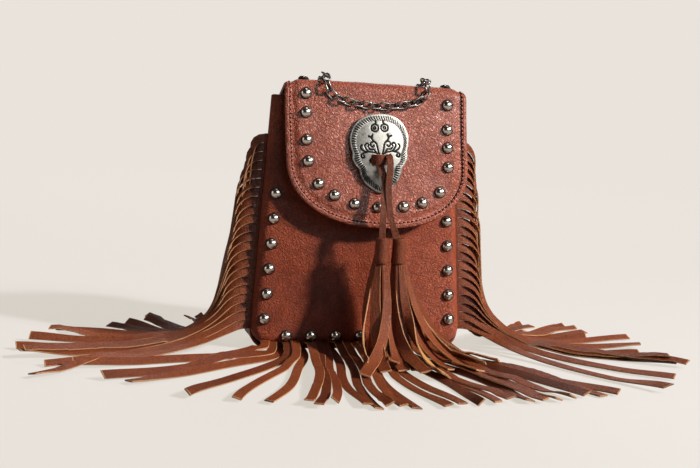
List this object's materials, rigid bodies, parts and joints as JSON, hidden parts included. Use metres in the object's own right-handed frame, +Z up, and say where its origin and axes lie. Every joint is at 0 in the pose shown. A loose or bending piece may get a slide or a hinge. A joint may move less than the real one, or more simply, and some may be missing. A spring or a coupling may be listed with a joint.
{
  "type": "fringe bag",
  "caption": "Small tapered leather crossbody bag with a studded flap, a domed concho with a tasselled lace, long fringe along the front seam and a chain strap.",
  "frame": {"origin": "middle of the base, on the surface that the bag stands on", "axes": "+Z up, the front of the bag faces -Y, +X to the right seen from the front"},
  "size_m": [0.4189, 0.2673, 0.1873],
  "materials": {
    "leather": "semi-gloss grained leather, reddish brown",
    "strip_leather": "cut leather strips, reddish brown face with golden tan edges and backs",
    "antique_silver": "cast antique silver with dark patina",
    "stud_metal": "polished antique nickel",
    "gunmetal": "polished gunmetal"
  },
  "bodies": {
    "root": {"front_panel": "leather", "gusset": "leather", "back_panel": "leather", "flap": "leather", "lace": "leather", "fringe_left": "strip_leather", "fringe_right": "strip_leather", "fringe_base": "strip_leather", "tassel_left": "strip_leather", "tassel_right": "strip_leather", "concho": "antique_silver", "flap_stud_01": "stud_metal", "flap_stud_02": "stud_metal", "flap_stud_03": "stud_metal", "flap_stud_04": "stud_metal", "flap_stud_05": "stud_metal", "flap_stud_06": "stud_metal", "flap_stud_07": "stud_metal", "flap_stud_08": "stud_metal", "flap_stud_09": "stud_metal", "flap_stud_10": "stud_metal", "flap_stud_11": "stud_metal", "flap_stud_12": "stud_metal", "flap_stud_13": "stud_metal", "flap_stud_14": "stud_metal", "flap_stud_15": "stud_metal", "flap_stud_16": "stud_metal", "flap_stud_17": "stud_metal", "panel_stud_01": "stud_metal", "panel_stud_02": "stud_metal", "panel_stud_03": "stud_metal", "panel_stud_04": "stud_metal", "panel_stud_05": "stud_metal", "panel_stud_06": "stud_metal", "panel_stud_07": "stud_metal", "panel_stud_08": "stud_metal", "panel_stud_09": "stud_metal", "panel_stud_10": "stud_metal", "panel_stud_11": "stud_metal", "panel_stud_12": "stud_metal", "panel_stud_13": "stud_metal", "panel_stud_14": "stud_metal", "panel_stud_15": "stud_metal", "panel_stud_16": "stud_metal", "panel_stud_17": "stud_metal", "panel_stud_18": "stud_metal", "panel_stud_19": "stud_metal", "chain": "gunmetal", "strap_anchor_left": "gunmetal", "strap_anchor_right": "gunmetal"}
  },
  "joints": []
}
